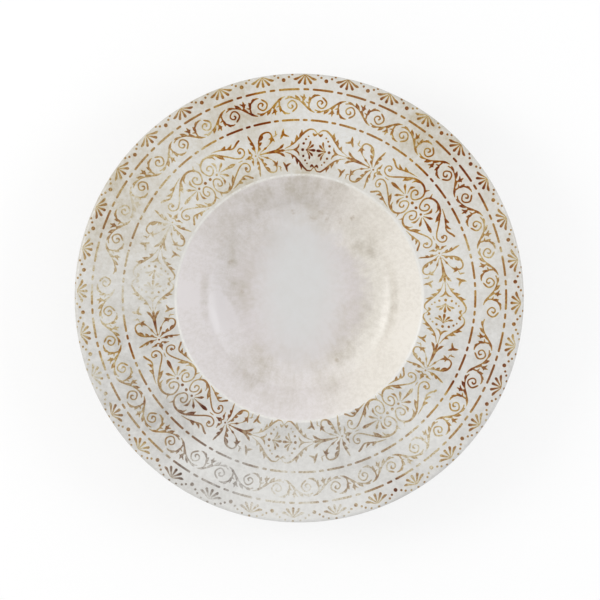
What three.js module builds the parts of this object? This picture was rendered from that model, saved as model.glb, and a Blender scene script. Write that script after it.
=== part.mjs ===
// A deep plate of glazed porcelain: a wide, gently dished rim round a steep well with a flat floor,
// standing on a plain foot ring. It is fired as one body, so it is one solid of revolution.
// Millimetres, +Z up. The origin is the centre of the circle that the foot ring stands on.

import * as THREE from "three";

const PLATE_DIAMETER = 280;
const WALL_THICKNESS = 4.8;
const FLOOR_THICKNESS = 5.5;

// The upper face, from the lip inwards
const RIM_WIDTH = 63;
const RIM_RISE = 9.5;
const RIM_DISH = 1.3; // of the rim's middle under a straight rim
const RIM_DISH_ROUND = 320;
const WELL_DEPTH = 30;
const WELL_EDGE_ROUND = 5;
const WALL_RUN = 18; // how far the well's wall leans out, from the faint ring near its foot
const RING_HEIGHT = 4.4; // of that ring over the flat floor
const RING_ROUND = 7;
const COVE_RUN = 13; // from the ring in to the flat floor

// The underside
const UNDER_EDGE_ROUND = 9; // below the well's edge
const FOOT_OUTSET = 3; // of the foot ring's outer edge past the flat floor's
const FOOT_WIDTH = 5;
const FOOT_HEIGHT = 3;
const FOOT_DRAFT = 0.5; // how far each side of the foot ring leans in on its way down
const FOOT_EDGE_ROUND = 0.9;
const FOOT_ROOT_ROUND = 2;

// How finely round stretches are divided
const ARC_TOLERANCE = 0.08; // how far an arc may bulge over its facets
const TURN_SEGMENTS = 80;
const CLOSEST_POINTS = 0.2; // a point nearer than this to the one before it is left out

const GLAZE_COLOUR = 0xd9d6cf;
const GLAZE_ROUGHNESS = 0.25;

// A corner of an outline: its distance from the axis, its height, and the radius that rounds it.
function corner(radius, height, round = 0) {
  return { at: new THREE.Vector2(radius, height), round };
}

// Where the line through a and b crosses the line through c and d.
function crossing([a, b], [c, d]) {
  const along = b.clone().sub(a);
  const other = d.clone().sub(c);
  const share = c.clone().sub(a).cross(other) / along.cross(other);
  return a.clone().addScaledVector(along, share);
}

// The side from one corner of the upper face to the next, moved square to itself to the underside.
function wallUnder(from, to) {
  const along = to.at.clone().sub(from.at).normalize();
  const aside = new THREE.Vector2(along.y, -along.x).multiplyScalar(WALL_THICKNESS);
  return [from.at.clone().add(aside), to.at.clone().add(aside)];
}

// Points on an arc about a centre, from one angle to another, both ends included.
function arcPoints(centre, radius, from, to) {
  const largestStep = 2 * Math.acos(Math.max(0, 1 - ARC_TOLERANCE / radius));
  const steps = Math.max(1, Math.ceil(Math.abs(to - from) / largestStep));
  return Array.from({ length: steps + 1 }, (_, i) => {
    const angle = THREE.MathUtils.lerp(from, to, i / steps);
    return new THREE.Vector2(Math.cos(angle), Math.sin(angle)).multiplyScalar(radius).add(centre);
  });
}

// How far a corner's rounding reaches along its two sides, and the tangent of half the corner's angle.
function rounding(corners, i) {
  if (i === 0 || i === corners.length - 1) return { reach: 0, tangent: 0 };
  const back = corners[i - 1].at.clone().sub(corners[i].at);
  const on = corners[i + 1].at.clone().sub(corners[i].at);
  const tangent = Math.tan(Math.abs(Math.atan2(back.cross(on), back.dot(on))) / 2);
  return { reach: corners[i].round / tangent, tangent };
}

// The outline through the corners with each rounded by an arc, cut down where two arcs would overlap.
function rounded(corners) {
  const wanted = corners.map((_, i) => rounding(corners, i));
  return corners.flatMap(({ at }, i) => {
    const { reach, tangent } = wanted[i];
    if (reach === 0) return [at];
    const rooms = [i - 1, i + 1].map((j) => at.distanceTo(corners[j].at) / (reach + wanted[j].reach));
    const length = reach * Math.min(1, ...rooms);
    const towards = (j) => corners[j].at.clone().sub(at).normalize();
    const middle = towards(i - 1).add(towards(i + 1)).normalize();
    const centre = at.clone().addScaledVector(middle, length * Math.hypot(1, tangent));
    const from = at.clone().addScaledVector(towards(i - 1), length).sub(centre).angle();
    const to = at.clone().addScaledVector(towards(i + 1), length).sub(centre).angle();
    const turn = THREE.MathUtils.euclideanModulo(to - from + Math.PI, 2 * Math.PI) - Math.PI;
    return arcPoints(centre, length * tangent, from, from + turn);
  });
}

// The half round of the lip, from the rim's underside through its outermost and topmost points.
function lipPoints(centre, radius, slope) {
  const turns = [slope - Math.PI / 2, 0, Math.PI / 2, slope + Math.PI / 2];
  return turns.slice(1).flatMap((to, i) => arcPoints(centre, radius, turns[i], to));
}

// The half section of the plate, from the axis under the floor, round the lip, to the axis on the floor.
function plateOutline() {
  const lipRadius = WALL_THICKNESS / 2;
  const wellRadius = PLATE_DIAMETER / 2 - RIM_WIDTH;
  const ringRadius = wellRadius - WALL_RUN;
  const floorRadius = ringRadius - COVE_RUN;
  const floorHeight = FOOT_HEIGHT + FLOOR_THICKNESS;
  const edgeHeight = floorHeight + WELL_DEPTH;
  const plateHeight = edgeHeight + RIM_RISE;

  // The cove's arc leaves the flat floor at the floor's edge and ends just short of the ring.
  const coveReach = COVE_RUN / 2;
  const coveRound = coveReach / Math.tan(Math.atan2(RING_HEIGHT, coveReach) / 2);

  const lip = new THREE.Vector2(PLATE_DIAMETER / 2 - lipRadius, plateHeight - lipRadius);
  const rimMiddle = corner(
    (wellRadius + lip.x) / 2,
    (edgeHeight + plateHeight) / 2 - RIM_DISH,
    RIM_DISH_ROUND,
  );

  // The rim's upper face ends where it touches the lip's circle.
  const toLip = lip.clone().sub(rimMiddle.at);
  const slope = toLip.angle() + Math.asin(lipRadius / toLip.length());
  const overLip = new THREE.Vector2(-Math.sin(slope), Math.cos(slope)).multiplyScalar(lipRadius);
  const upperFace = [
    corner(0, floorHeight),
    corner(floorRadius + coveReach, floorHeight, coveRound),
    corner(ringRadius, floorHeight + RING_HEIGHT, RING_ROUND),
    corner(wellRadius, edgeHeight, WELL_EDGE_ROUND),
    rimMiddle,
    corner(lip.x + overLip.x, lip.y + overLip.y),
  ];

  // Outside the foot, the underside follows the upper face, a wall's thickness under it.
  const walls = upperFace.slice(1).map((to, i) => wallUnder(upperFace[i], to));
  const underRounds = [
    coveRound + WALL_THICKNESS,
    RING_ROUND + WALL_THICKNESS,
    UNDER_EDGE_ROUND,
    RIM_DISH_ROUND + WALL_THICKNESS,
  ];
  const underCorners = underRounds.map((round, i) => ({ at: crossing(walls[i], walls[i + 1]), round }));

  // The foot's outer side rises to the first of those walls that reaches so far out.
  const footOuter = floorRadius + FOOT_OUTSET;
  const footInner = footOuter - FOOT_WIDTH;
  const footSide = [
    new THREE.Vector2(footOuter, 0),
    new THREE.Vector2(footOuter + FOOT_DRAFT, FOOT_HEIGHT),
  ];
  const insideFoot = underCorners.filter(({ at }) => at.x < footSide[1].x).length;
  const lowerFace = [
    corner(0, FOOT_HEIGHT),
    corner(footInner - FOOT_DRAFT, FOOT_HEIGHT, FOOT_ROOT_ROUND),
    corner(footInner, 0, FOOT_EDGE_ROUND),
    corner(footOuter, 0, FOOT_EDGE_ROUND),
    { at: crossing(footSide, walls[insideFoot]), round: FOOT_ROOT_ROUND },
    ...underCorners.slice(insideFoot),
    corner(lip.x - overLip.x, lip.y - overLip.y),
  ];

  const points = [
    ...rounded(lowerFace),
    ...lipPoints(lip, lipRadius, slope),
    ...rounded(upperFace).reverse(),
  ];
  return points.filter((point, i) => i === 0 || point.distanceTo(points[i - 1]) > CLOSEST_POINTS);
}

const glazedPorcelain = new THREE.MeshStandardMaterial({
  color: GLAZE_COLOUR,
  roughness: GLAZE_ROUGHNESS,
  metalness: 0,
});

// The lathe turns its outline about +Y, and the plate stands along +Z.
const plateBody = new THREE.Mesh(
  new THREE.LatheGeometry(plateOutline(), TURN_SEGMENTS),
  glazedPorcelain,
);
plateBody.name = "plate_body";
plateBody.rotation.x = Math.PI / 2;

const deepPlate = new THREE.Group();
deepPlate.name = "deep_plate";
deepPlate.add(plateBody);

export default deepPlate;
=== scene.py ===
import math

import bpy
import numpy as np
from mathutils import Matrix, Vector
from mathutils.geometry import delaunay_2d_cdt
from mathutils.kdtree import KDTree


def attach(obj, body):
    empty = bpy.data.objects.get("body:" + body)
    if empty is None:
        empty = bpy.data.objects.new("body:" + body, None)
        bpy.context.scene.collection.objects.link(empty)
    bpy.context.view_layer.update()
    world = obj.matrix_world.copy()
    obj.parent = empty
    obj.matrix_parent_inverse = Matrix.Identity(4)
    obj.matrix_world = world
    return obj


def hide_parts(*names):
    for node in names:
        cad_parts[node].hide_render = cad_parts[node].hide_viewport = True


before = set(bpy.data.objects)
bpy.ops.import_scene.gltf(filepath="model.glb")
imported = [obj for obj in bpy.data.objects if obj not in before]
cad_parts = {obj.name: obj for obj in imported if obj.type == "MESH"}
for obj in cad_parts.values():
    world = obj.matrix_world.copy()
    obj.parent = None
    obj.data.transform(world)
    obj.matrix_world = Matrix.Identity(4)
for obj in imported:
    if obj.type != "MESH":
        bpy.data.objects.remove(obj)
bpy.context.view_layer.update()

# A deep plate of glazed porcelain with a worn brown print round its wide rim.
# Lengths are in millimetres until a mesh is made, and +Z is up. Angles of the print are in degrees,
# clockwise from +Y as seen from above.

MM = 0.001

# The plate's sizes, as the CAD model has them
PLATE_DIAMETER = 280
WALL_THICKNESS = 4.8
FLOOR_THICKNESS = 5.5
RIM_WIDTH = 63
RIM_RISE = 9.5
RIM_DISH = 1.3
RIM_DISH_ROUND = 320
WELL_DEPTH = 30
WELL_EDGE_ROUND = 5
WALL_RUN = 18
RING_HEIGHT = 4.4
RING_ROUND = 7
COVE_RUN = 13
UNDER_EDGE_ROUND = 9
FOOT_OUTSET = 3
FOOT_WIDTH = 5
FOOT_HEIGHT = 3
FOOT_DRAFT = 0.5
FOOT_EDGE_ROUND = 0.9
FOOT_ROOT_ROUND = 2

# How finely the plate's mesh is divided
ARC_TOLERANCE = 0.004  # how far an arc may bulge over its facets
TURN_SEGMENTS = 288

# Where the meshes lie on their unit square maps
MAP_RADIUS = 0.285  # of each face of the plate
UPPER_MAP_CENTRE = (0.2929, 0.7071)
UNDER_MAP_CENTRE = (0.7071, 0.2929)
PRINT_MAP_WIDTH = 1.04 * PLATE_DIAMETER  # the print's map takes in the plate and a small margin

# The print on the plate
PRINT_CENTRE = (-0.1, 1.3)  # it was laid a little off the plate's centre
PRINT_OVER = 0.03  # how far the print's face stands over the glaze
PRINT_UNDER = 0.05  # how far its edges reach down into it
PRINT_LIMIT = 139.8  # no print lies further out than this on the lip

# The pen strokes and dots that the print is drawn with
PEN_STEP = 0.72  # between the points along a stroke
CAP_POINTS = 3  # round each end of a stroke
DOT_POINTS = 10
THINNEST_LINE = 0.02
INK_SPREAD = 0.1  # how far the full ink lies outside the pen's line
FULL_SPREAD_FROM = 1.0  # thinner strokes than this spread less
INK_BLEED = 0.25  # how far the ink has bled, ever fainter, into the glaze round it
THIN_INK = 0.6  # density of the ink in the thinnest strokes
THICK_INK = 1.5  # and in thick ones
THICK_STROKE = 1.3

# The bands of the print: the radius where t is 0, and the angle where s is 0 in each of their units
MAIN_RADIUS = 91.7
MAIN_START = 6.6
SCROLL_RADIUS = 120
SCROLL_STARTS = (107.5, 287.6)
OUTER_DASH_RADIUS = 129.0
INNER_DASH_RADIUS = 110.1
DASH_STARTS = (102.6, 282.6)
FAN_RADIUS = 134
FAN_START = 1.6
FAN_COUNT = 32

# How the flat shapes of the print are cut into triangles
WELL_EDGE_FOLDS = np.arange(-13.3, -11, 0.4)  # t at which the main band bends over the well's edge
LIP_FOLDS = np.arange(1.8, 7, 0.4)  # t at which the border bends over the lip
FOLD_MARGIN = 1  # how far the line of a fold reaches past the shapes
CLOSEST_CORNERS = 1e-4  # nearer corners become one


# Outline of the plate

def corner(radius, height, rounding=0):
    return np.array([radius, height], float), rounding


def crossing(first, second):
    """Where the line through the first two points crosses the line through the second two."""
    (a, b), (c, d) = first, second
    along, other, gap = b - a, d - c, c - a
    share = (gap[0] * other[1] - gap[1] * other[0]) / (along[0] * other[1] - along[1] * other[0])
    return a + share * along


def wall_under(start, end):
    """One side of the upper face, moved square to itself to the underside."""
    along = (end - start) / np.linalg.norm(end - start)
    aside = np.array([along[1], -along[0]]) * WALL_THICKNESS
    return start + aside, end + aside


def arc(centre, radius, start, end):
    largest_step = 2 * math.acos(1 - ARC_TOLERANCE / radius)
    steps = max(1, math.ceil(abs(end - start) / largest_step))
    angles = np.linspace(start, end, steps + 1)
    return [centre + radius * np.array([math.cos(a), math.sin(a)]) for a in angles]


def rounded(corners):
    """The outline through the corners, with each one rounded by an arc that fits between its neighbours."""
    reaches = []
    tangents = []
    for i, (at, rounding) in enumerate(corners):
        if i in (0, len(corners) - 1) or rounding == 0:
            reaches.append(0.0)
            tangents.append(0.0)
            continue
        back, on = corners[i - 1][0] - at, corners[i + 1][0] - at
        angle = abs(math.atan2(back[0] * on[1] - back[1] * on[0], float(back @ on)))
        tangents.append(math.tan(angle / 2))
        reaches.append(rounding / tangents[-1])
    points = []
    for i, (at, _) in enumerate(corners):
        if reaches[i] == 0:
            points.append(at)
            continue
        sides = [corners[j][0] - at for j in (i - 1, i + 1)]
        lengths = [np.linalg.norm(side) for side in sides]
        rooms = [lengths[k] / (reaches[i] + reaches[j]) for k, j in enumerate((i - 1, i + 1))]
        length = reaches[i] * min(1, *rooms)
        back, on = (side / size for side, size in zip(sides, lengths))
        middle = (back + on) / np.linalg.norm(back + on)
        centre = at + middle * length * math.hypot(1, tangents[i])
        start, end = (at + length * side - centre for side in (back, on))
        from_angle = math.atan2(start[1], start[0])
        turn = (math.atan2(end[1], end[0]) - from_angle + math.pi) % (2 * math.pi) - math.pi
        points += arc(centre, length * tangents[i], from_angle, from_angle + turn)
    return points


def plate_outlines():
    """The half sections of the underside and of the upper face, from the axis out to the lip's edge."""
    lip_radius = WALL_THICKNESS / 2
    well_radius = PLATE_DIAMETER / 2 - RIM_WIDTH
    ring_radius = well_radius - WALL_RUN
    floor_radius = ring_radius - COVE_RUN
    floor_height = FOOT_HEIGHT + FLOOR_THICKNESS
    edge_height = floor_height + WELL_DEPTH
    plate_height = edge_height + RIM_RISE
    cove_reach = COVE_RUN / 2
    cove_round = cove_reach / math.tan(math.atan2(RING_HEIGHT, cove_reach) / 2)

    lip = np.array([PLATE_DIAMETER / 2 - lip_radius, plate_height - lip_radius])
    rim_middle = np.array([(well_radius + lip[0]) / 2, (edge_height + plate_height) / 2 - RIM_DISH])
    to_lip = lip - rim_middle
    slope = math.atan2(to_lip[1], to_lip[0]) + math.asin(lip_radius / np.linalg.norm(to_lip))
    over_lip = np.array([-math.sin(slope), math.cos(slope)]) * lip_radius
    upper = [
        corner(0, floor_height),
        corner(floor_radius + cove_reach, floor_height, cove_round),
        corner(ring_radius, floor_height + RING_HEIGHT, RING_ROUND),
        corner(well_radius, edge_height, WELL_EDGE_ROUND),
        (rim_middle, RIM_DISH_ROUND),
        (lip + over_lip, 0),
    ]

    walls = [wall_under(upper[i][0], upper[i + 1][0]) for i in range(len(upper) - 1)]
    under_rounds = [
        cove_round + WALL_THICKNESS,
        RING_ROUND + WALL_THICKNESS,
        UNDER_EDGE_ROUND,
        RIM_DISH_ROUND + WALL_THICKNESS,
    ]
    under = [(crossing(walls[i], walls[i + 1]), size) for i, size in enumerate(under_rounds)]
    foot_outer = floor_radius + FOOT_OUTSET
    foot_inner = foot_outer - FOOT_WIDTH
    foot_side = (np.array([foot_outer, 0.0]), np.array([foot_outer + FOOT_DRAFT, float(FOOT_HEIGHT)]))
    inside_foot = sum(at[0] < foot_side[1][0] for at, _ in under)
    lower = [
        corner(0, FOOT_HEIGHT),
        corner(foot_inner - FOOT_DRAFT, FOOT_HEIGHT, FOOT_ROOT_ROUND),
        corner(foot_inner, 0, FOOT_EDGE_ROUND),
        corner(foot_outer, 0, FOOT_EDGE_ROUND),
        (crossing(foot_side, walls[inside_foot]), FOOT_ROOT_ROUND),
        *under[inside_foot:],
        (lip - over_lip, 0),
    ]
    quarter_turn = math.pi / 2
    lip_under = arc(lip, lip_radius, slope - quarter_turn, 0)
    lip_over = arc(lip, lip_radius, slope + quarter_turn, quarter_turn)
    lip_over += arc(lip, lip_radius, quarter_turn, 0)
    return spaced(rounded(lower) + lip_under), spaced(rounded(upper) + lip_over)


def spaced(points):
    """The points without any that lie on the one before them."""
    kept = [points[0]]
    for point in points[1:]:
        if np.linalg.norm(point - kept[-1]) > ARC_TOLERANCE:
            kept.append(point)
    return np.array(kept)


UNDERSIDE, UPPER_FACE = plate_outlines()


# Meshes

def mesh_object(name, corners, faces, map_places, material):
    """A smooth mesh object from corners in millimetres.

    Its map has one place for each corner of each face, in the order of the faces.
    """
    mesh = bpy.data.meshes.new(name)
    mesh.from_pydata([tuple(c) for c in np.asarray(corners) * MM], [], faces)
    mesh.polygons.foreach_set("use_smooth", [True] * len(mesh.polygons))
    mesh.materials.append(material)
    layer = mesh.uv_layers.new(name="OFBake")
    layer.data.foreach_set("uv", np.asarray(map_places, np.float32).ravel())
    mesh.validate()
    made = bpy.data.objects.new(name, mesh)
    bpy.context.scene.collection.objects.link(made)
    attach(made, "root")
    return made


def turned_face(outline, first_corner, upward):
    """Corners, faces and map places of one face of the plate, turned from its half section."""
    angles = 2 * math.pi * np.arange(TURN_SEGMENTS) / TURN_SEGMENTS
    cosines, sines = np.cos(angles), np.sin(angles)
    corners = [(0, 0, outline[0][1])]
    for radius, height in outline[1:]:
        corners += [(radius * c, radius * s, height) for c, s in zip(cosines, sines)]
    lengths = np.concatenate([[0], np.cumsum(np.linalg.norm(np.diff(outline, axis=0), axis=1))])
    map_radius = MAP_RADIUS * lengths / lengths[-1]
    map_centre = UPPER_MAP_CENTRE if upward else UNDER_MAP_CENTRE

    def number(ring, k):
        return first_corner + (0 if ring == 0 else 1 + (ring - 1) * TURN_SEGMENTS + k % TURN_SEGMENTS)

    def place(ring, k):
        angle = 2 * math.pi * k / TURN_SEGMENTS
        return (map_centre[0] + map_radius[ring] * math.cos(angle) * (1 if upward else -1),
                map_centre[1] + map_radius[ring] * math.sin(angle))

    faces = []
    places = []
    for ring in range(len(outline) - 1):
        for k in range(TURN_SEGMENTS):
            around = [(ring, k), (ring + 1, k), (ring + 1, k + 1), (ring, k + 1)]
            if ring == 0:
                around.pop()
            if not upward:
                around.reverse()
            faces.append([number(*spot) for spot in around])
            places += [place(*spot) for spot in around]
    return corners, faces, places


def make_plate(material):
    """The whole plate. Its two faces share the lip's outermost ring."""
    corners, faces, places = turned_face(UPPER_FACE, 0, upward=True)
    under_corners, under_faces, under_places = turned_face(UNDERSIDE, len(corners), upward=False)
    upper_ring = len(corners) - TURN_SEGMENTS
    under_ring = upper_ring + len(under_corners)
    for face in under_faces:
        faces.append([n - under_ring + upper_ring if n >= under_ring else n for n in face])
    corners = (corners + under_corners)[:under_ring]
    plate = mesh_object("fine_plate_body", corners, faces, places + under_places, material)
    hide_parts("plate_body")


# Flat shapes of the print: s runs clockwise along a band, t outwards

def smooth_line(points, widths, step):
    """A smooth line through the points, with the width of the pen at each place on it."""
    knots = np.array([(x, y, w) for (x, y), w in zip(points, widths)], float)
    knots = np.vstack([2 * knots[0] - knots[1], knots, 2 * knots[-1] - knots[-2]])
    knots[0, 2] = knots[1, 2]
    knots[-1, 2] = knots[-2, 2]
    line = []
    for p0, p1, p2, p3 in zip(knots, knots[1:], knots[2:], knots[3:]):
        steps = max(1, math.ceil(np.linalg.norm((p2 - p1)[:2]) / step))
        for k in range(steps):
            u = k / steps
            line.append(0.5 * (2 * p1 + (p2 - p0) * u + (2 * p0 - 5 * p1 + 4 * p2 - p3) * u ** 2
                               + (3 * p1 - p0 - 3 * p2 + p3) * u ** 3))
    line.append(knots[-2])
    line = np.array(line)
    return line[:, :2], np.maximum(line[:, 2], THINNEST_LINE)


def ink_of(width):
    """How dense the ink lies in a stroke of that width."""
    return THIN_INK + (THICK_INK - THIN_INK) * np.minimum(1, width / THICK_STROKE)


def pen(points, widths, step=PEN_STEP):
    """A pen stroke with round ends: the outline of its full ink, and the outline that it has bled to.

    Each point of an outline is s, t and the density of the ink there.
    """
    line, width = smooth_line(points, widths, step)
    tangent = np.gradient(line, axis=0)
    tangent /= np.linalg.norm(tangent, axis=1)[:, None]
    normal = np.stack([-tangent[:, 1], tangent[:, 0]], 1)
    turns = [math.pi * (k + 1) / (CAP_POINTS + 1) for k in range(CAP_POINTS)]

    def outline(half, ink):
        aside = normal * half[:, None]
        end = [line[-1] + half[-1] * (math.cos(a) * normal[-1] + math.sin(a) * tangent[-1]) for a in turns]
        start = [line[0] - half[0] * (math.cos(a) * normal[0] + math.sin(a) * tangent[0]) for a in turns]
        around = np.concatenate([line + aside, end, (line - aside)[::-1], start])
        inks = np.concatenate([ink, [ink[-1]] * len(turns), ink[::-1], [ink[0]] * len(turns)])
        return np.column_stack([around, inks])

    full = width / 2 + INK_SPREAD * np.minimum(1, width / FULL_SPREAD_FROM)
    return outline(full, ink_of(width)), outline(full + INK_BLEED, 0 * width)


def dot(s, t, radius):
    """A round dot: the outline of its full ink, and the outline that it has bled to."""
    angles = 2 * math.pi * np.arange(DOT_POINTS) / DOT_POINTS

    def outline(reach, ink):
        around = [s + reach * np.cos(angles), t + reach * np.sin(angles)]
        return np.column_stack([*around, np.full(DOT_POINTS, ink)])

    full = radius + INK_SPREAD
    return outline(full, ink_of(2 * radius)), outline(full + INK_BLEED, 0)


def bent(base, tip, share, bend):
    """A point that far along the line from base to tip, and aside of it by bend times its length."""
    (x0, y0), (x1, y1) = base, tip
    dx, dy = x1 - x0, y1 - y0
    return x0 + share * dx - bend * dy, y0 + share * dy + bend * dx


def petal(base, tip, width, bend=0.0, root=0.15, blunt=0.6):
    """A petal, narrow where it grows and widest near its tip.

    The root is its width where it grows, and blunt its tip's share of the full width.
    """
    line = [base, bent(base, tip, 0.5, bend), bent(base, tip, 0.82, 0.6 * bend), tip]
    return pen(line, [root, 0.55 * width, width, blunt * width])


def spine(places, widths):
    """A stroke along the middle of a band."""
    return pen([(s, 0.0) for s in places], widths)


def flipped(shapes, s_sign=1, t_sign=-1):
    """The shapes mirrored, from one edge of the band to the other unless the signs say otherwise."""
    return [[outline * (s_sign, t_sign, 1) for outline in shape] for shape in shapes]


def shifted(shapes, along):
    return [[outline + (along, 0, 0) for outline in shape] for shape in shapes]


# The main band: medallions and scrolled crosses, joined by leafy stems

def medallion():
    upper = [
        pen([(0.7, 11.0), (2.1, 12.6), (4.4, 12.9), (6.1, 11.9), (7.8, 10.4), (9.3, 8.7),
             (11.0, 6.6), (12.8, 4.8), (14.5, 3.4), (16.1, 2.4), (19.2, 1.1)],
            [0.25, 0.4, 0.6, 0.75, 0.75, 0.8, 0.6, 0.65, 0.55, 0.35, 0.12]),
        pen([(10.2, 7.9), (9.4, 9.3), (9.0, 10.4), (9.0, 12.3)], [0.5, 1.5, 1.1, 0.2]),
        pen([(12.7, 5.1), (11.9, 6.5), (11.7, 7.6), (11.9, 9.0)], [0.5, 1.5, 1.1, 0.2]),
        pen([(15.6, 2.8), (14.7, 3.9), (14.6, 4.5), (14.9, 5.3)], [0.4, 1.2, 0.9, 0.3]),
        pen([(0.0, 10.7), (0.7, 10.1), (1.7, 9.4), (2.5, 10.3)], [0.5, 0.6, 1.2, 0.6]),
        dot(5.1, 8.4, 0.3),
        dot(6.5, 6.6, 0.42),
        dot(7.8, 3.9, 0.55),
        petal((5.4, 0.9), (3.7, 5.4), 0.85, bend=0.08),
        petal((5.2, 0.6), (2.0, 3.3), 1.05, bend=0.05),
        pen([(10.5, 3.6), (10.9, 2.1), (11.9, 0.9), (13.6, 0.1)], [0.15, 0.6, 0.7, 0.5]),
    ]
    middle = [
        petal((5.4, 0.0), (1.0, 0.0), 1.25, root=0.3, blunt=0.9),
        dot(5.6, 0, 0.5),
        dot(8.3, 0, 0.7),
        spine([11.7, 13.0, 15.0, 19.8], [0.4, 0.8, 0.3, 0.12]),
    ]
    return upper + flipped(upper) + middle


def leafy_stem():
    upper = [
        pen([(19.8, 3.9), (20.9, 2.7), (22.3, 1.7), (25.0, 0.6)], [0.2, 1.1, 0.9, 0.5]),
        pen([(19.6, 10.0), (19.4, 11.8), (19.0, 13.2)], [1.1, 0.85, 0.2]),
        pen([(19.7, 10.2), (18.0, 9.0), (16.6, 8.5)], [1.1, 0.85, 0.35]),
        pen([(19.7, 10.1), (20.5, 8.6), (21.1, 7.6)], [1.1, 0.85, 0.4]),
        pen([(23.6, 12.6), (23.6, 10.9), (23.7, 9.4)], [0.15, 0.4, 0.2]),
        pen([(22.9, 10.4), (23.7, 9.9), (25.2, 9.1)], [0.12, 0.35, 0.12]),
        pen([(36.6, 0.9), (35.2, 3.2), (34.6, 5.2), (34.0, 7.8), (33.1, 10.0), (31.9, 11.4),
             (30.3, 12.3), (28.8, 12.6), (27.3, 12.3), (26.3, 11.0), (26.0, 9.3)],
            [0.15, 0.55, 0.5, 0.5, 0.6, 0.75, 0.75, 0.6, 0.55, 0.5, 0.6]),
        pen([(35.2, 2.6), (34.5, 3.7), (34.2, 4.3)], [0.5, 1.2, 0.4]),
        pen([(34.3, 5.3), (33.6, 6.5), (32.7, 6.9)], [0.4, 1.5, 0.6]),
        pen([(33.7, 8.2), (32.6, 9.5), (31.7, 10.5), (31.3, 11.0)], [0.4, 1.8, 1.5, 0.7]),
        pen([(26.0, 10.2), (26.2, 8.9), (26.4, 7.8), (26.9, 6.6), (28.3, 4.9)], [0.5, 1.0, 1.5, 0.8, 0.2]),
        pen([(26.1, 8.3), (25.5, 7.1), (24.9, 6.2)], [1.1, 0.8, 0.2]),
        pen([(26.5, 8.3), (27.3, 8.3), (28.0, 8.2)], [0.9, 0.6, 0.2]),
        pen([(28.3, 4.9), (30.1, 3.6), (31.1, 3.0), (32.8, 2.1), (35.0, 0.9)],
            [0.15, 0.25, 0.9, 0.25, 0.12]),
        pen([(37.5, 1.4), (37.6, 2.9), (37.5, 4.4), (37.5, 6.0),
             (37.8, 7.9), (38.2, 9.6), (38.7, 11.4), (39.0, 13.1)],
            [0.1, 0.35, 0.8, 0.75, 0.75, 0.6, 0.65, 0.2]),
        pen([(37.6, 3.6), (38.0, 4.8), (38.5, 5.4)], [0.5, 1.2, 0.5]),
        pen([(37.8, 6.6), (38.3, 7.8), (38.9, 8.4)], [0.5, 1.2, 0.5]),
        pen([(40.7, 0.5), (40.0, 1.4), (40.3, 2.2), (40.8, 2.9), (41.0, 4.0), (41.1, 5.5)],
            [0.4, 0.5, 0.5, 1.1, 0.5, 0.2]),
    ]
    middle = [
        spine([19.9, 20.9, 22.4, 24.2, 26.5, 29.6, 32.8, 36.0],
              [0.7, 1.15, 1.0, 1.8, 1.45, 0.95, 0.45, 0.12]),
        dot(34.7, 0, 0.4),
        dot(38.0, 0, 0.4),
        spine([41.0, 41.9, 42.7, 44.5], [1.2, 2.3, 1.2, 0.2]),
        spine([46.8, 48.0, 49.4], [0.15, 0.35, 0.15]),
    ]
    return upper + flipped(upper) + middle


def scrolled_cross():
    stem = [(46.5, 5.3), (47.2, 6.2), (46.6, 7.4), (45.5, 7.7), (44.2, 6.7), (43.7, 5.0), (44.2, 3.3),
            (45.5, 2.2), (47.1, 1.8), (48.6, 2.2), (50.3, 3.1), (52.2, 4.6), (54.2, 6.3), (56.1, 7.8),
            (57.4, 8.9), (58.8, 10.1), (60.1, 11.0), (61.7, 11.8), (63.4, 12.3), (65.1, 12.5),
            (66.5, 12.4), (68.0, 11.8), (69.2, 10.9), (70.3, 9.6), (71.0, 7.9), (71.1, 6.2),
            (70.7, 4.6), (69.9, 2.9), (68.8, 1.8), (67.6, 1.6), (66.3, 2.3), (65.3, 3.5), (64.9, 5.0),
            (65.3, 6.5), (66.3, 7.2), (67.6, 6.9), (68.2, 5.8), (67.7, 4.9)]
    spots = [0, 2, 8, 13, 16, 20, 23, 27, 33, 37]
    stem_widths = [0.5, 0.48, 0.48, 0.6, 0.8, 0.9, 0.6, 0.5, 0.55, 0.65]
    upper = [
        pen(stem, np.interp(range(len(stem)), spots, stem_widths)),
        dot(46.5, 5.3, 0.75),
        pen([(60.0, 10.9), (58.7, 9.4), (57.6, 7.9), (56.9, 6.6), (56.4, 5.4)], [0.5, 1.3, 1.7, 1.0, 0.25]),
        pen([(64.5, 12.2), (62.8, 11.5), (61.7, 10.4), (61.1, 8.4)], [0.5, 1.1, 0.6, 0.15]),
        pen([(70.3, 9.7), (69.5, 10.7), (70.0, 11.6), (70.7, 13.1)], [0.5, 1.2, 0.5, 0.12]),
        pen([(44.6, 12.3), (45.9, 11.5), (47.4, 10.2), (49.0, 9.3), (50.7, 9.5), (52.6, 10.4), (54.4, 11.2),
             (56.3, 11.9), (58.4, 12.5), (60.9, 13.1)],
            [0.8, 0.8, 0.7, 0.6, 0.6, 0.6, 0.8, 0.55, 0.35, 0.1]),
        pen([(52.2, 10.2), (51.2, 10.3), (50.1, 10.9), (49.1, 11.9)], [0.5, 1.2, 0.8, 0.25]),
        pen([(55.8, 11.7), (54.5, 11.5), (53.7, 11.8), (53.0, 12.4)], [0.4, 1.3, 1.2, 0.7]),
        pen([(59.0, 4.5), (59.7, 3.7), (60.9, 2.5), (63.0, 0.8)], [0.6, 1.2, 0.7, 0.2]),
        pen([(64.0, 7.6), (63.0, 6.2), (62.9, 4.6), (63.3, 3.1), (63.8, 1.7)], [0.25, 1.0, 0.6, 0.35, 0.15]),
    ]
    middle = [
        spine([52.4, 54.0, 56.7, 59.2, 62.6], [0.9, 1.75, 1.1, 0.6, 0.15]),
        dot(65.0, 0, 0.58),
        dot(70.1, 0, 0.75),
    ]
    return upper + flipped(upper) + middle


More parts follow.
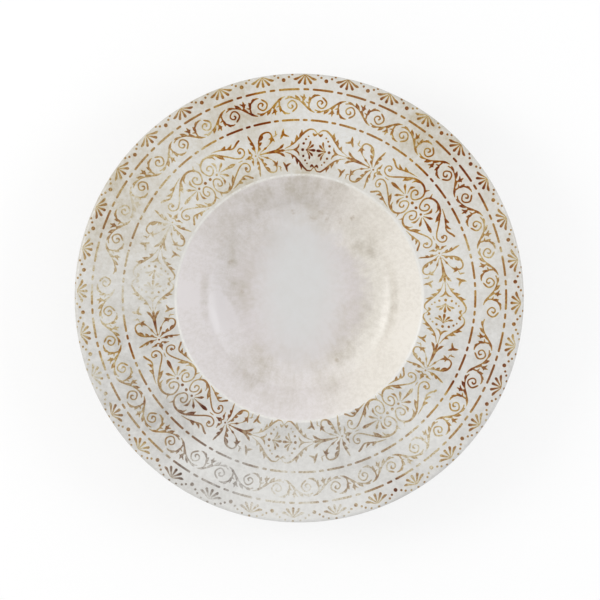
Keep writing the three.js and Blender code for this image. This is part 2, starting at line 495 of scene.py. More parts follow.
def main_band_quarter():
    half = medallion() + leafy_stem() + scrolled_cross()
    return half + flipped(half, s_sign=-1, t_sign=1)


# The running scroll between the two dashed rings

SPIRALS = 20  # in half a turn
SPIRAL_SPACING = 8.78  # degrees


def scroll_unit():
    """One spiral, the leafy arc round it, and the stem that reaches it over the spiral before."""
    return [
        pen([(0.3, 4.7), (0.9, 4.2), (2.7, 2.6), (3.15, 0.9), (2.0, -1.3), (0.1, -2.05),
             (-1.9, -0.8), (-2.6, 0.8), (-1.7, 2.3), (-0.3, 2.6), (0.65, 1.6), (0.0, 0.6)],
            [0.35, 0.7, 0.65, 0.6, 0.55, 0.55, 0.5, 0.5, 0.5, 0.6, 0.8, 0.5]),
        pen([(-7.6, -1.8), (-7.7, 0.3), (-7.4, 1.7), (-6.7, 3.3),
             (-5.5, 4.5), (-4.1, 5.4), (-2.6, 5.8), (-1.4, 5.7)],
            [0.6, 0.65, 0.95, 0.75, 0.7, 0.75, 0.6, 0.25]),
        pen([(-7.3, 1.2), (-7.3, 2.6), (-7.2, 3.6), (-7.5, 4.2)], [0.8, 1.2, 1.1, 0.5]),
        pen([(-5.6, 4.4), (-4.9, 5.2), (-4.4, 6.1)], [0.9, 1.1, 0.35]),
        pen([(-9.5, 1.3), (-8.6, 1.0), (-7.8, 0.6)], [0.2, 0.5, 0.8]),
        pen([(-11.1, 2.0), (-11.0, 3.0), (-10.9, 4.0), (-10.8, 5.9)], [0.45, 1.3, 1.3, 0.25]),
        pen([(-11.0, 3.2), (-11.9, 4.2), (-12.9, 4.9)], [0.9, 0.75, 0.3]),
        pen([(-10.9, 3.3), (-10.2, 3.8), (-9.6, 3.8)], [0.9, 0.8, 0.25]),
        pen([(-11.2, 2.3), (-11.5, 1.4), (-10.4, 0.0), (-9.2, -1.3)], [0.35, 0.85, 0.75, 0.3]),
        pen([(-22.0, 3.3), (-20.3, 3.9), (-18.3, 3.9), (-16.2, 3.4), (-14.3, 2.5), (-12.6, 1.4),
             (-10.8, -0.3), (-9.1, -1.7), (-7.6, -2.7), (-6.2, -3.9), (-4.1, -4.8)],
            [0.4, 0.5, 0.5, 0.5, 0.45, 0.5, 0.55, 0.65, 1.15, 0.75, 0.25]),
        pen([(-17.2, 4.0), (-18.6, 4.2), (-19.9, 4.4), (-20.5, 4.7)], [0.3, 0.9, 1.1, 0.5]),
        pen([(-13.2, 2.3), (-14.6, 3.5), (-15.5, 4.4), (-16.0, 5.3)], [0.4, 1.3, 1.1, 0.3]),
    ]


def scroll_half_turn():
    spacing = math.radians(SPIRAL_SPACING) * SCROLL_RADIUS
    shapes = []
    for k in range(SPIRALS):
        unit = scroll_unit() if k % 2 else flipped(scroll_unit())
        shapes += shifted(unit, k * spacing)
    return shapes


# The border of palmettes, and the dashed rings

def palmette():
    side = [
        pen([(0.3, 3.8), (0.9, 2.7), (2.2, 1.0), (3.7, -1.0)], [0.2, 0.4, 0.75, 1.25]),
        pen([(0.5, 4.0), (2.4, 3.0), (4.1, 1.95), (5.7, 1.3), (6.6, 1.2)], [0.2, 0.45, 0.8, 1.1, 0.7]),
        dot(9.9, 2.6, 0.5),
        dot(7.8, 4.1, 0.48),
        dot(4.6, 5.6, 0.45),
    ]
    middle = [
        pen([(0.0, 4.0), (0.0, 1.8), (0.0, -0.4), (0.0, -1.5)], [0.3, 0.5, 1.0, 1.35]),
        dot(13.1, 0.85, 1.0),
        dot(0.0, 6.25, 0.55),
    ]
    return side + flipped(side, s_sign=-1, t_sign=1) + middle


DASH_THICKNESS = 0.9
DASH_PERIOD = 9.34  # degrees from one long dash to the next
LONG_DASH = 5.6  # degrees
SHORT_DASH = 1.44
LONG_DASHES = 19  # in half a turn
DASH_STEP = 1.5  # between the points along a dash


def dashed_half_turn(radius):
    """Long and short dashes by turns over half a circle, with a short one at each end."""
    def dash(middle, length):
        half = (math.radians(length) * radius - DASH_THICKNESS) / 2
        s = math.radians(middle) * radius
        return pen([(s - half, 0), (s, 0), (s + half, 0)], [DASH_THICKNESS] * 3, DASH_STEP)

    longs = [dash(DASH_PERIOD * k, LONG_DASH) for k in range(LONG_DASHES)]
    shorts = [dash(DASH_PERIOD * (k - 0.5), SHORT_DASH) for k in range(LONG_DASHES + 1)]
    return longs + shorts


# From flat shapes to thin raised pieces on the glaze

def inside(places, outline):
    """Whether each place lies in the outline, by how often it winds round the place."""
    a = outline
    b = np.roll(a, -1, axis=0)
    x, y = places[:, :1], places[:, 1:]
    side = (b[:, 0] - a[:, 0]) * (y - a[:, 1]) - (x - a[:, 0]) * (b[:, 1] - a[:, 1])
    up = (a[:, 1] <= y) & (b[:, 1] > y) & (side > 0)
    down = (a[:, 1] > y) & (b[:, 1] <= y) & (side < 0)
    return up.sum(1) != down.sum(1)


def covered(places, outlines):
    """Whether each place lies in any of the outlines."""
    found = np.zeros(len(places), bool)
    for outline in outlines:
        flat = outline[:, :2]
        near = np.where(~found & (places >= flat.min(0)).all(1) & (places <= flat.max(0)).all(1))[0]
        found[near] = inside(places[near], flat)
    return found


def joined(shapes, folds=()):
    """Corners and triangles that cover the shapes and their bleeding once, and the ink at each corner.

    The triangles are divided along each t of the folds, where the glaze under them bends outwards.
    """
    outlines = [outline for shape in shapes for outline in shape]
    points = []
    edges = []
    for outline in outlines:
        first = len(points)
        points += [Vector(p) for p in outline[:, :2]]
        edges += [(first + i, first + (i + 1) % len(outline)) for i in range(len(outline))]
    along = np.concatenate(outlines)[:, 0]
    low, high = along.min() - FOLD_MARGIN, along.max() + FOLD_MARGIN
    for t in folds:
        edges.append((len(points), len(points) + 1))
        points += [Vector((low, t)), Vector((high, t))]
    found = delaunay_2d_cdt(points, edges, [], 0, CLOSEST_CORNERS, False)
    corners = np.array([tuple(p) for p in found[0]])
    triangles = np.array([tuple(t) for t in found[2]])
    triangles = triangles[covered(corners[triangles].mean(axis=1), [bled for _, bled in shapes])]
    full = covered(corners[triangles].mean(axis=1), [ink for ink, _ in shapes])

    # A corner of full ink takes the density of the nearest point on a stroke's outline.
    drawn = np.concatenate([ink for ink, _ in shapes])
    nearest = KDTree(len(drawn))
    for i, (s, t, _) in enumerate(drawn):
        nearest.insert((s, t, 0), i)
    nearest.balance()
    inks = np.zeros(len(corners))
    for i in np.unique(triangles[full]):
        inks[i] = drawn[nearest.find((*corners[i], 0))[1], 2]
    used, renumbered = np.unique(triangles, return_inverse=True)
    return corners[used], renumbered.reshape(-1, 3), inks[used]


def glaze_height(x, y):
    """Height of the plate's upper face at a place on it."""
    return np.interp(np.hypot(x, y), UPPER_FACE[:, 0], UPPER_FACE[:, 1])


def on_rim(flat, radius, start):
    """Where flat places lie on the plate, with t from that radius of the print and s from that angle."""
    angles = math.radians(start) + flat[:, 0] / radius
    x = PRINT_CENTRE[0] + (radius + flat[:, 1]) * np.sin(angles)
    y = PRINT_CENTRE[1] + (radius + flat[:, 1]) * np.cos(angles)
    return x, y


def print_piece(name, units, material):
    """One piece of print, a thin slab that lies on the glaze.

    Each of its units is flat corners, triangles, the ink at each corner, the radius where t is 0
    and the angle where s is 0.
    """
    tops = []
    triangles = []
    count = 0
    for flat, faces, _, radius, start in units:
        x, y = on_rim(flat, radius, start)
        tops.append(np.stack([x, y, glaze_height(x, y) + PRINT_OVER], 1))
        triangles.append(faces + count)
        count += len(flat)
    tops = np.concatenate(tops)
    triangles = np.concatenate(triangles)
    bottoms = tops - (0, 0, PRINT_OVER + PRINT_UNDER)
    one_way = {(a, b) for t in triangles.tolist() for a, b in zip(t, t[1:] + t[:1])}
    rims = [(a, b) for a, b in one_way if (b, a) not in one_way]
    faces = triangles.tolist()
    faces += (triangles[:, ::-1] + count).tolist()
    faces += [(b, a, a + count, b + count) for a, b in sorted(rims)]
    corners = np.concatenate([tops, bottoms])
    places = [0.5 + corners[n, :2] / PRINT_MAP_WIDTH for face in faces for n in face]
    piece = mesh_object(name, corners, faces, places, material)
    inks = np.concatenate([unit[2] for unit in units])
    ink = piece.data.attributes.new("ink", "FLOAT", "POINT")
    ink.data.foreach_set("value", np.tile(inks, 2).astype(np.float32))
    sharp = piece.data.attributes.new("sharp_edge", "BOOLEAN", "EDGE")
    edge = set()
    for a, b in rims:
        edge |= {(min(a, b), max(a, b)), (min(a, b) + count, max(a, b) + count)}
    sharp.data.foreach_set("value", [tuple(sorted(e.vertices)) in edge for e in piece.data.edges])


def on_plate(shapes, radius, start):
    """The shapes, pushed back where they reach past the lip, without those that lie wholly there."""
    kept = []
    for shape in shapes:
        pushed = []
        for outline in shape:
            over = np.hypot(*on_rim(outline, radius, start)) - PRINT_LIMIT
            pushed.append(outline - np.outer(np.maximum(over, 0), (0, 1, 0)))
        if over.mean() < 0:
            kept.append(pushed)
    return kept


def make_dashes(name, radius, material):
    dashes = joined(dashed_half_turn(radius))
    print_piece(name, [(*dashes, radius, start) for start in DASH_STARTS], material)


def make_print(material):
    quarter = joined(main_band_quarter(), WELL_EDGE_FOLDS)
    quarters = [(*quarter, MAIN_RADIUS, MAIN_START + 90 * k) for k in range(4)]
    print_piece("print_main_band", quarters, material)
    scroll = joined(scroll_half_turn())
    scrolls = [(*scroll, SCROLL_RADIUS, start) for start in SCROLL_STARTS]
    print_piece("print_scroll_band", scrolls, material)
    make_dashes("print_outer_dashes", OUTER_DASH_RADIUS, material)
    make_dashes("print_inner_dashes", INNER_DASH_RADIUS, material)
    fans = []
    for k in range(FAN_COUNT):
        start = FAN_START + 360 / FAN_COUNT * k
        fan = joined(on_plate(palmette(), FAN_RADIUS, start), LIP_FOLDS)
        fans.append((*fan, FAN_RADIUS, start))
    print_piece("print_palmette_border", fans, material)


# Materials

SPOT_CORE = 0.25  # the share of a soft spot's radius that has its full amount


class Nodes:
    """The nodes of a material or of the world, with short ways to add them."""

    def __init__(self, owner, output="ShaderNodeOutputMaterial"):
        owner.use_nodes = True
        self.tree = owner.node_tree
        self.tree.nodes.clear()
        self.output = self.tree.nodes.new(output)

    def node(self, kind, inputs=(), **settings):
        made = self.tree.nodes.new(kind)
        for name, value in settings.items():
            setattr(made, name, value)
        for socket, value in dict(inputs).items():
            if isinstance(value, bpy.types.NodeSocket):
                self.tree.links.new(value, made.inputs[socket])
            else:
                made.inputs[socket].default_value = value
        return made

    def finish(self, kind, inputs):
        """Ends the nodes with a shader of that kind."""
        shader = self.node(kind, inputs)
        self.tree.links.new(shader.outputs[0], self.output.inputs[0])

    def math(self, operation, a, b=0.0, clamp=False):
        return self.node("ShaderNodeMath", {0: a, 1: b}, operation=operation, use_clamp=clamp).outputs[0]

    def add(self, a, b, clamp=False):
        return self.math("ADD", a, b, clamp)

    def times(self, a, b, clamp=False):
        return self.math("MULTIPLY", a, b, clamp)

    def vector(self, operation, a, b=(0, 0, 0)):
        made = self.node("ShaderNodeVectorMath", {0: a, 1: b}, operation=operation)
        return made.outputs["Value" if operation in ("LENGTH", "DISTANCE") else "Vector"]

    def axis(self, name, place):
        return self.node("ShaderNodeSeparateXYZ", {0: place}).outputs[name]

    def noise(self, place, size, detail=2.0, roughness=0.5):
        """Soft noise from 0 to 1 whose lumps are about size millimetres across."""
        inputs = {"Vector": place, "Scale": 1 / size, "Detail": detail, "Roughness": roughness}
        return self.node("ShaderNodeTexNoise", inputs).outputs["Fac"]

    def fade(self, value, low, high, to_low=0.0, to_high=1.0):
        """A smooth change from to_low where the value is low to to_high where it is high."""
        inputs = {0: value, 1: low, 2: high, 3: to_low, 4: to_high}
        return self.node("ShaderNodeMapRange", inputs, interpolation_type="SMOOTHSTEP").outputs[0]

    def ring(self, radius, fades_in, fades_out):
        """1 in a ring of radii, which fades in and out between the two values of each pair."""
        return self.times(self.fade(radius, *fades_in), self.fade(radius, *fades_out))

    def mix(self, share, first, second):
        made = self.node("ShaderNodeMix", {"Factor": share}, data_type="RGBA")
        for socket, value in (("A_Color", first), ("B_Color", second)):
            target = next(i for i in made.inputs if i.identifier == socket)
            if isinstance(value, bpy.types.NodeSocket):
                self.tree.links.new(value, target)
            else:
                target.default_value = (*value, 1)
        return next(o for o in made.outputs if o.identifier == "Result_Color")

    def patches(self, place, spots):
        """The sum of soft round spots, each (x, y, radius, amount) in millimetres."""
        total = 0.0
        for x, y, radius, amount in spots:
            distance = self.vector("DISTANCE", place, (x, y, 0))
            total = self.add(self.fade(distance, SPOT_CORE * radius, radius, amount, 0.0), total)
        return total


def colour(red, green, blue):
    """A colour on screen, 0 to 255, as the linear values that Blender uses."""
    def linear(value):
        share = value / 255
        return share / 12.92 if share < 0.0404 else ((share + 0.055) / 1.055) ** 2.4

    return linear(red), linear(green), linear(blue)


RIM_GLAZE = colour(222, 221, 218)
WARM_STAIN = colour(188, 178, 157)
GREY_STAIN = colour(186, 183, 178)
# Lighter glaze along the well's edge: partly thinner glaze, partly a painted highlight of its rounded edge
EDGE_GLAZE_AND_HIGHLIGHT = colour(232, 230, 225)
# The well is pinkish on its left, and lighter and creamier on its right: that difference is painted light
# from the left
PINKISH_WELL = colour(231, 226, 226)
CREAMY_PAINTED_LIGHT_WELL = colour(240, 236, 228)
# The floor ring's darker tone is painted shade cast by the well's walls
SHADED_PINKISH_FLOOR = colour(219, 213, 213)
GREY_FLOOR = colour(216, 216, 216)
WELL_STAIN = colour(190, 182, 168)
DARK_SPECK = colour(164, 145, 116)
BISCUIT = colour(216, 208, 195)
RUBBED_BISCUIT = colour(178, 168, 152)

GLAZE_IOR = 1.5
NOISE_RANGE = (0.3, 0.7)  # soft noise seldom lies outside it
WARP_SIZE = 6  # of the lumps in the warp that makes stains ragged
WARP_REACH = 13  # between its farthest shifts to either side

# Where one tone of the glaze gives way to the next, from the first value to the second
WARM_TO_GREY_Y = (70, -50)
# The well turns from pinkish to the cream of its painted light across this x
PINKISH_TO_CREAMY_PAINTED_LIGHT_X = (0, 50)
# The painted shade of the floor sets in between these radii
WALL_TO_SHADED_FLOOR_RADIUS = (50, 36)
WELL_TO_RIM_RADIUS = (76, 78)
CREASE_RING = ((56.5, 60.5), (64.5, 61))
# The lighter edge, partly a painted highlight, lies on this ring
EDGE_GLAZE_AND_HIGHLIGHT_RING = ((76.2, 77.2), (78.6, 77.6))

# The grey middle of the floor is an upright oval, measured with y halved
OVAL_SCALE = (1, 0.5, 0)
OVAL_CENTRE = (0, 4, 0)
OVAL_FADE = (36, 8)
OVAL_MOTTLE_FADE = (14, 34)


def places_of(nodes):
    """A point's place in millimetres: as it is, with z left out, and the latter unevenly warped."""
    own = nodes.node("ShaderNodeTexCoord").outputs["Object"]
    here = nodes.vector("MULTIPLY", own, (1 / MM,) * 3)
    flat = nodes.vector("MULTIPLY", here, (1, 1, 0))
    wander = nodes.node("ShaderNodeTexNoise", {"Vector": flat, "Scale": 1 / WARP_SIZE, "Detail": 4.0})
    centred = nodes.vector("SUBTRACT", wander.outputs["Color"], (0.5, 0.5, 0.5))
    aside = nodes.vector("MULTIPLY", centred, (WARP_REACH, WARP_REACH, 0))
    return here, flat, nodes.vector("ADD", flat, aside)


# Soft stains in the glaze over an even slight staining. An amount below 0 is a cleaner spot, except the
# well's at (-50, -10), which is a painted highlight.
# Those of the well are x, y, size and amount, and those of the rim angle, radius, size and amount.
# Eleven of the well's are rounded from a program's fit to the photograph's tones.
RIM_MOTTLE = 0.16
WELL_MOTTLE = 0.14
WELL_STAINING = 0.1
WELL_STAINS_AND_HIGHLIGHT = [
    (8, 76, 38, 0.5),
    (-24, 65, 14, 0.2),
    (-38, 48, 36, 0.3),
    (-44, 25, 8, 0.2),
    (-38, 14, 18, 0.22),
    (-37, -1, 14, 0.3),
    # A painted highlight, the broad soft glint low on the well's left, not a cleaner spot
    (-50, -10, 18, -0.24),
    (-69, 3, 14, -0.18),
    (-30, -43, 20, 0.32),
    (-12, -54, 28, 0.16),
    (18, -48, 20, 0.22),
    (18, -62, 12, 0.15),
    (27, -34, 12, 0.35),
    (35, -18, 19, 0.22),
    (43, -4, 13, 0.18),
    (70, -26, 20, -0.12),
    (44, 18, 20, 0.12),
    (42, 31, 10, 0.25),
    (40, 42, 27, 0.2),
    (14, 47, 10, 0.22),
]
# These only darken the faint ring low on the well's wall, more at its left and right
CREASE_DARKENING = [(60, -4, 30, 0.3), (-60, -2, 24, 0.3)]  # on the faint ring low on the well's wall
RIM_STAINING = 0.35
RIM_STAINS = [
    (5, 84, 20, 0.38),
    (10, 106, 40, -0.28),
    (30, 100, 22, -0.18),
    (38, 138, 36, 0.34),
    (55, 84, 26, -0.14),
    (78, 88, 50, -0.2),
    (112, 83, 18, -0.16),
    (122, 98, 18, 0.2),
    (135, 112, 28, -0.25),
    (155, 90, 36, 0.15),
    (165, 134, 20, -0.2),
    (185, 136, 56, -0.26),
    (190, 84, 26, 0.15),
    (212, 115, 24, -0.3),
    (226, 110, 28, 0.38),
    (240, 132, 40, 0.2),
    (255, 104, 34, 0.2),
    (300, 136, 48, 0.26),
    (312, 99, 36, -0.12),
    (332, 80, 18, 0.28),
    (332, 98, 16, -0.16),
    (338, 138, 36, 0.16),
    (344, 116, 16, 0.22),
]

# Dark specks in the well, each x, y and size
SPECK_STRENGTH = 0.4
SPECKS = [
    (9, 50, 3.2),
    (14, 54, 2.6),
    (18, 49, 2.4),
    (26, 48, 2.6),
    (34, 50, 2.8),
    (-4, 54, 2.4),
    (-44, 22, 2.2),
    (-36, 3, 2.0),
    (24, -41, 2.2),
]


def on_the_rim(spots):
    """Soft spots given by angle and radius instead of x and y."""
    turned = []
    for angle, radius, size, amount in spots:
        turn = math.radians(angle)
        turned.append((radius * math.sin(turn), radius * math.cos(turn), size, amount))
    return turned


def rim_tone(nodes, warped, uneven, fine):
    """The rim's off-white, with stains that turn from beige at its top to grey at its bottom."""
    amount = nodes.add(nodes.patches(warped, on_the_rim(RIM_STAINS)), RIM_STAINING)
    amount = nodes.times(amount, uneven)
    mottle = nodes.fade(fine, *NOISE_RANGE, -RIM_MOTTLE, RIM_MOTTLE)
    amount = nodes.add(amount, mottle, clamp=True)
    stain = nodes.mix(nodes.fade(nodes.axis("Y", warped), *WARM_TO_GREY_Y), WARM_STAIN, GREY_STAIN)
    return nodes.mix(amount, RIM_GLAZE, stain)


def bare_well_tone(nodes, warped):
    """The well's tone without its stains: painted light makes its right side lighter and creamier, and there
    is painted shade on its floor ring. Also the distance from the middle of its grey oval.
    """
    # Painted light: the right side of the well is made lighter and creamier
    creamy_painted_light = nodes.fade(nodes.axis("X", warped), *PINKISH_TO_CREAMY_PAINTED_LIGHT_X)
    tone = nodes.mix(creamy_painted_light, PINKISH_WELL, CREAMY_PAINTED_LIGHT_WELL)
    from_middle = nodes.vector("LENGTH", warped)
    # Painted shade darkens the floor ring
    tone = nodes.mix(nodes.fade(from_middle, *WALL_TO_SHADED_FLOOR_RADIUS), tone, SHADED_PINKISH_FLOOR)
    narrowed = nodes.vector("MULTIPLY", warped, OVAL_SCALE)
    from_oval = nodes.vector("DISTANCE", narrowed, OVAL_CENTRE)
    return nodes.mix(nodes.fade(from_oval, *OVAL_FADE), tone, GREY_FLOOR), from_oval


def well_tone(nodes, flat, warped, radius, uneven, fine):
    """The well with its stains, its darker faint ring, a painted highlight low on its left, its mottle and
    its specks.
    """
    tone, from_oval = bare_well_tone(nodes, warped)
    mottle = nodes.fade(fine, *NOISE_RANGE, -WELL_MOTTLE, WELL_MOTTLE)
    mottle = nodes.times(mottle, nodes.fade(from_oval, *OVAL_MOTTLE_FADE))
    # The faint ring is made darker at its left and right
    crease = nodes.ring(radius, *CREASE_RING)
    crease = nodes.times(crease, nodes.patches(warped, CREASE_DARKENING))
    amount = nodes.add(nodes.patches(warped, WELL_STAINS_AND_HIGHLIGHT), WELL_STAINING)
    amount = nodes.add(amount, crease)
    amount = nodes.add(nodes.times(amount, uneven), mottle, clamp=True)
    tone = nodes.mix(amount, tone, WELL_STAIN)
    specks = nodes.patches(flat, [(x, y, size, SPECK_STRENGTH) for x, y, size in SPECKS])
    patchy = nodes.fade(fine, 0.35, 0.65, to_low=0.2)
    return nodes.mix(nodes.times(specks, patchy, clamp=True), tone, DARK_SPECK)


def glaze_colour(nodes, flat, warped):
    """The off-white of the glaze with its beige clouds, stains and cleaner spots, and painted light in the
    well: lighter and creamier on its right, painted shade on its floor, a painted highlight on its left, and
    a lighter edge that is partly a painted highlight.
    """
    radius = nodes.vector("LENGTH", flat)
    coarse = nodes.noise(flat, size=10, detail=6.0, roughness=0.7)
    fine = nodes.noise(flat, size=2.6, detail=5.0, roughness=0.7)
    uneven = nodes.fade(coarse, 0.32, 0.68, to_low=0.5, to_high=1.5)
    rim = rim_tone(nodes, warped, uneven, fine)
    well = well_tone(nodes, flat, warped, radius, uneven, fine)
    tone = nodes.mix(nodes.fade(radius, *WELL_TO_RIM_RADIUS), well, rim)
    # The well's edge is lighter here: thinner glaze and a painted highlight
    edge = nodes.times(nodes.ring(radius, *EDGE_GLAZE_AND_HIGHLIGHT_RING), nodes.fade(fine, 0.3, 0.6))
    return nodes.mix(edge, tone, EDGE_GLAZE_AND_HIGHLIGHT)


# How smooth the glaze is
ROUGHNESS_RANGE = (0.28, 0.38)
GLOSS_CLOUD_SIZE = 9
WAVE_SIZE = 18
WAVE_HEIGHT = 0.1
PEEL_SIZE = 1.6
PEEL_HEIGHT = 0.0025


def glaze_gloss(nodes, here):
    """Slightly uneven roughness, and the normal of a poured glaze with its faint waviness."""
    cloud = nodes.noise(here, GLOSS_CLOUD_SIZE, detail=3.0)
    wave = nodes.times(nodes.noise(here, WAVE_SIZE), WAVE_HEIGHT * MM)
    peel = nodes.times(nodes.noise(here, PEEL_SIZE), PEEL_HEIGHT * MM)
    height = nodes.add(wave, peel)
    bump = nodes.node("ShaderNodeBump", {"Height": height, "Distance": 1.0})
    return nodes.fade(cloud, *NOISE_RANGE, *ROUGHNESS_RANGE), bump.outputs[0]


# The glaze is wiped off the foot ring where the plate stands, and grey rubs show there
BARE_FADE = (1.0, 0.75)  # height, with the raggedness of the glaze's end added to it
RAGGEDNESS = 0.5
BISCUIT_ROUGHNESS = 0.5  # more than the glaze has


def foot_biscuit(nodes, here):
    """How bare of glaze a place is, and the colour of the biscuit there."""
    height = nodes.axis("Z", here)
    ragged = nodes.times(nodes.noise(here, size=2.5, detail=3.0), RAGGEDNESS)
    bare = nodes.fade(nodes.add(height, ragged), *BARE_FADE)
    rubbed = nodes.fade(nodes.noise(here, size=0.7, detail=3.0), 0.3, 0.75)
    return bare, nodes.mix(rubbed, BISCUIT, RUBBED_BISCUIT)


def porcelain_material():
    material = bpy.data.materials.new("glazed_porcelain_worn")
    nodes = Nodes(material)
    here, flat, warped = places_of(nodes)
    bare, biscuit = foot_biscuit(nodes, here)
    roughness, normal = glaze_gloss(nodes, here)
    rougher = nodes.times(bare, BISCUIT_ROUGHNESS)
    nodes.finish("ShaderNodeBsdfPrincipled", {
        "Base Color": nodes.mix(bare, glaze_colour(nodes, flat, warped), biscuit),
        "Roughness": nodes.add(roughness, rougher),
        "Normal": normal,
        "IOR": GLAZE_IOR,
    })
    return material


# Where the print is stronger or fainter, and greyer or browner: angle, radius, size and amount
PRINT_DENSITY = 0.365
LEAST_DENSITY = 0.05
PATCHINESS = 0.17
SPECKLE = 0.12
PRINT_STRENGTH = [
    (0, 121, 15, -0.14),
    (3, 85, 22, 0.7),
    (10, 132, 50, 0.22),
    (25, 131, 24, 0.15),
    (30, 94, 28, 0.12),
    (46, 128, 22, 0.23),
    (46, 109, 16, 0.1),
    (55, 117, 34, 0.55),
    (66, 88, 30, 0.15),
    (82, 91, 12, -0.12),
    (88, 124, 30, 0.14),
    (94, 92, 14, -0.1),
    (102, 97, 24, 0.16),
    (112, 118, 32, 0.42),
    (118, 115, 12, 0.35),
    (130, 131, 16, 0.24),
    (131, 111, 12, 0.18),
    (136, 120, 16, -0.1),
    (138, 115, 44, -0.14),
    (153, 131, 10, 0.5),
    (166, 132, 24, -0.15),
    (183, 128, 46, -0.15),
    (184, 120, 22, -0.16),
    (187, 92, 16, -0.12),
    (205, 110, 12, -0.14),
    (214, 92, 30, 0.38),
    (216, 134, 14, 0.3),
    (222, 113, 15, 0.25),
    (229, 98, 15, 0.15),
    (241, 119, 14, 0.25),
    (250, 132, 34, -0.2),
    (254, 84, 26, 0.34),
    (254, 115, 17, 0.3),
    (270, 112, 30, -0.16),
    (277, 92, 18, -0.2),
    (285, 108, 62, -0.12),
    (292, 130, 14, 0.3),
    (292, 110, 10, 0.22),
    (295, 97, 14, -0.14),
    (300, 120, 14, -0.2),
    (318, 100, 36, -0.1),
    (325, 124, 11, 0.2),
    (330, 131, 14, 0.2),
    (332, 120, 8, -0.25),
    (343, 115, 24, 0.78),
    (352, 92, 20, 0.15),
]
PRINT_GREYNESS = 0.3
GREY_PRINT = [
    (0, 115, 50, -0.2),
    (35, 120, 44, -0.14),
    (55, 112, 50, -0.18),
    (94, 112, 50, -0.14),
    (122, 110, 26, -0.14),
    (148, 106, 44, 0.18),
    (178, 114, 66, 0.38),
    (207, 126, 46, 0.65),
    (229, 98, 20, 0.25),
    (240, 128, 34, 0.15),
    (252, 112, 24, -0.14),
    (283, 98, 46, 0.18),
    (341, 112, 40, -0.22),
]
BLEED_FALL = 1.4  # how fast the bled ink grows fainter outwards
PRINT_SPECULAR = 0.15

# The share of red, green and blue light that comes back through ink of density 1
BROWN_INK = (0.36, 0.1, 0.002)
GREY_INK = (0.25, 0.215, 0.19)


def ink_density(nodes, flat, warped):
    """How dense the ink is: uneven in itself, and less where it is worn or has bled."""
    patchy = nodes.noise(flat, size=11, detail=3.0, roughness=0.6)
    patchy = nodes.fade(patchy, *NOISE_RANGE, -PATCHINESS, PATCHINESS)
    speckle = nodes.noise(flat, size=1.3, detail=3.0, roughness=0.6)
    speckle = nodes.fade(speckle, *NOISE_RANGE, -SPECKLE, SPECKLE)
    density = nodes.add(nodes.patches(warped, on_the_rim(PRINT_STRENGTH)), PRINT_DENSITY)
    density = nodes.add(density, nodes.add(patchy, speckle))
    density = nodes.math("MAXIMUM", density, LEAST_DENSITY)
    ink = nodes.node("ShaderNodeAttribute", attribute_name="ink").outputs["Fac"]
    return nodes.times(density, nodes.math("POWER", ink, BLEED_FALL))


def through_ink(nodes, density, shares):
    """The tint that ink of some density gives to the glaze under it."""
    powers = [nodes.math("POWER", share, density) for share in shares]
    return nodes.node("ShaderNodeCombineXYZ", dict(enumerate(powers))).outputs[0]


def ink_tint(nodes, warped, density):
    """The tint of the print, between that of brown ink and that of grey ink."""
    greyness = nodes.patches(warped, on_the_rim(GREY_PRINT))
    greyness = nodes.add(greyness, PRINT_GREYNESS, clamp=True)
    brown, grey = (through_ink(nodes, density, shares) for shares in (BROWN_INK, GREY_INK))
    return nodes.mix(greyness, brown, grey)


def print_material():
    material = bpy.data.materials.new("worn_brown_print")
    nodes = Nodes(material)
    here, flat, warped = places_of(nodes)
    tint = ink_tint(nodes, warped, ink_density(nodes, flat, warped))
    roughness, normal = glaze_gloss(nodes, here)
    nodes.finish("ShaderNodeBsdfPrincipled", {
        "Base Color": nodes.vector("MULTIPLY", glaze_colour(nodes, flat, warped), tint),
        "Roughness": roughness,
        "Normal": normal,
        "IOR": GLAZE_IOR,
        "Specular IOR Level": PRINT_SPECULAR,
    })
    return material


# Floor, light and camera

CAMERA_DISTANCE = 1500
CAMERA_TILT = math.radians(2.5)
CAMERA_AIM = (0.5, -0.55, 48)
PHOTO_WIDTH = 373.3  # of the view at the height of the rim
SENSOR_WIDTH = 36
FLOOR_HALF_WIDTH = 3000
FLOOR_GREY = (0.6, 0.6, 0.6)  # as it lights the plate
WHITE = (1.0, 1.0, 1.0)
FLOOR_WHITE_SHARE = 0.72  # of the floor's look, with the rest lit and shadowed
LAMP_HEIGHT_ANGLE = math.radians(38)
LAMP_DISTANCE = 1400


def seen_plainly(nodes):
    """1 for what the camera and reflections see, and 0 for the light that falls on things."""
    path = nodes.node("ShaderNodeLightPath").outputs
    seen = nodes.math("MAXIMUM", path["Is Camera Ray"], path["Is Glossy Ray"])
    return nodes.math("MAXIMUM", seen, path["Is Transmission Ray"])


def floor_material():
    material = bpy.data.materials.new("pale_floor")
    nodes = Nodes(material)
    seen = seen_plainly(nodes)
    lit = nodes.node("ShaderNodeBsdfDiffuse", {"Color": nodes.mix(seen, FLOOR_GREY, WHITE)})
    white = nodes.node("ShaderNodeEmission", {"Color": (*WHITE, 1)})
    share = nodes.times(seen, FLOOR_WHITE_SHARE)
    nodes.finish("ShaderNodeMixShader", {0: share, 1: lit.outputs[0], 2: white.outputs[0]})
    return material


def make_floor():
    half = FLOOR_HALF_WIDTH * MM
    corners = [(-half, -half, 0), (half, -half, 0), (half, half, 0), (-half, half, 0)]
    mesh = bpy.data.meshes.new("floor")
    mesh.from_pydata(corners, [], [(0, 1, 2, 3)])
    mesh.materials.append(floor_material())
    floor = bpy.data.objects.new("floor", mesh)
    bpy.context.scene.collection.objects.link(floor)


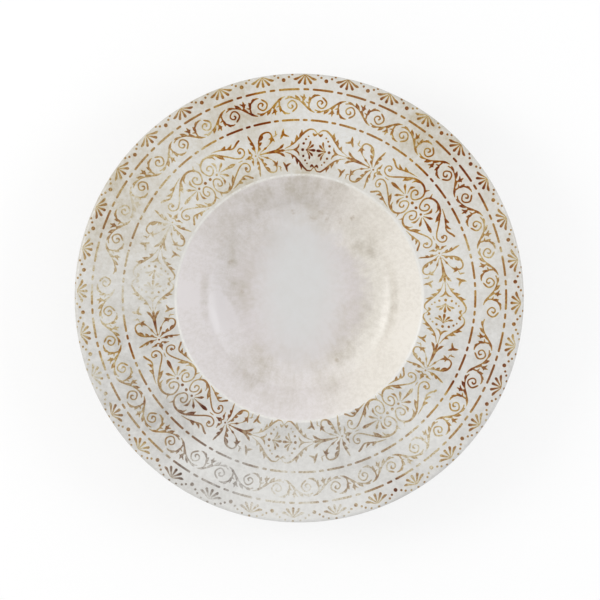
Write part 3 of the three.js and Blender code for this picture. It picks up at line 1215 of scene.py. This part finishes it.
def make_world(low_sky, high_sky):
    """Soft light, stronger from low down, and plain white where the camera or a reflection sees it."""
    world = bpy.data.worlds.new("studio")
    bpy.context.scene.world = world
    nodes = Nodes(world, "ShaderNodeOutputWorld")
    seen = seen_plainly(nodes)
    direction = nodes.node("ShaderNodeTexCoord").outputs["Generated"]
    share = nodes.math("POWER", nodes.axis("Z", direction), 2.0)
    light = nodes.add(nodes.times(share, high_sky - low_sky), low_sky)
    hidden = nodes.times(light, nodes.math("SUBTRACT", 1.0, seen))
    strength = nodes.add(hidden, seen)
    nodes.finish("ShaderNodeBackground", {"Color": (*WHITE, 1), "Strength": strength})


def make_lamp(name, azimuth, size, power, tint):
    """A square soft lamp that faces the plate. Its azimuth is clockwise from +Y, its power in watts."""
    data = bpy.data.lights.new(name, "AREA")
    data.size = size * MM
    data.energy = power
    data.color = tint
    lamp = bpy.data.objects.new(name, data)
    turn = math.radians(azimuth)
    aside = math.cos(LAMP_HEIGHT_ANGLE)
    toward = Vector((aside * math.sin(turn), aside * math.cos(turn), math.sin(LAMP_HEIGHT_ANGLE)))
    lamp.location = toward * LAMP_DISTANCE * MM
    lamp.rotation_euler = toward.to_track_quat("Z", "Y").to_euler()
    bpy.context.scene.collection.objects.link(lamp)


def make_camera():
    data = bpy.data.cameras.new("camera")
    data.sensor_width = SENSOR_WIDTH
    rim_distance = CAMERA_DISTANCE - CAMERA_AIM[2]
    data.lens = SENSOR_WIDTH * rim_distance / PHOTO_WIDTH
    camera = bpy.data.objects.new("camera", data)
    away = Vector((0, math.sin(CAMERA_TILT), math.cos(CAMERA_TILT)))
    camera.location = (Vector(CAMERA_AIM) + away * rim_distance) * MM
    camera.rotation_euler = (-CAMERA_TILT, 0, 0)
    bpy.context.scene.collection.objects.link(camera)
    bpy.context.scene.camera = camera


make_camera()
make_floor()
make_world(low_sky=0.96, high_sky=0.49)
make_lamp("key", azimuth=281, size=560, power=5.7, tint=(1.0, 0.99, 0.97))
make_lamp("fill", azimuth=80, size=520, power=3.95, tint=(0.92, 0.96, 1.0))
make_plate(porcelain_material())
make_print(print_material())
bpy.context.scene.view_settings.view_transform = "Standard"
